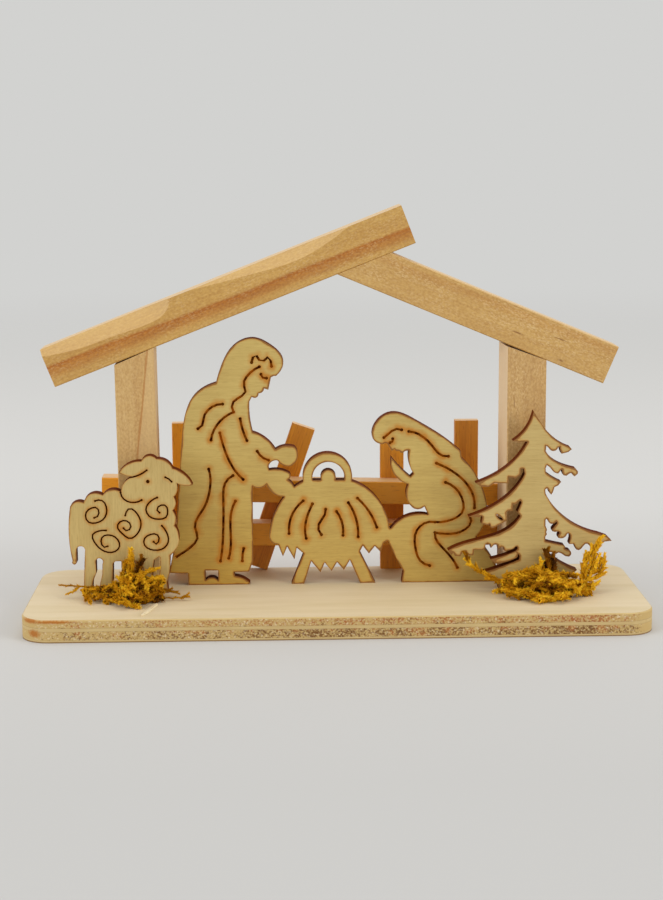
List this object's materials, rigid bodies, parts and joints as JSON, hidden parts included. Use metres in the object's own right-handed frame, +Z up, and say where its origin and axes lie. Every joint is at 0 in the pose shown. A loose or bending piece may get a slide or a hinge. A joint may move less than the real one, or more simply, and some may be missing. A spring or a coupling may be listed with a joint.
{
  "type": "nativity stable ornament",
  "caption": "Small table-top wooden nativity stable: plywood board, batten posts and a crossed roof, strip fence, laser-cut figure silhouettes, sheep and fir tree, with dried moss tufts.",
  "frame": {"origin": "middle of the board's underside", "axes": "+X along the board to the viewer's right, +Y from the viewer to the fence, +Z up"},
  "size_m": [0.15, 0.05, 0.0998],
  "materials": {
    "board_ply": "sanded plywood, raw",
    "pine_batten": "planed pine, raw",
    "fence_strip": "planed strip, raw",
    "figure_ply": "laser-cut plywood with scorched edges",
    "moss": "dried moss, matt",
    "straw": "dry straw, matt"
  },
  "bodies": {
    "root": {"base_board": "board_ply", "left_post": "pine_batten", "right_post": "pine_batten", "left_rafter": "pine_batten", "right_rafter": "pine_batten", "upper_rail": "fence_strip", "lower_rail": "fence_strip", "left_picket": "fence_strip", "leaning_picket": "fence_strip", "middle_picket": "fence_strip", "right_picket": "fence_strip", "figure_panel": "figure_ply", "sheep": "figure_ply", "fir_tree": "figure_ply", "left_moss": "moss", "right_moss": "moss", "straw_sliver": "straw"}
  },
  "joints": []
}
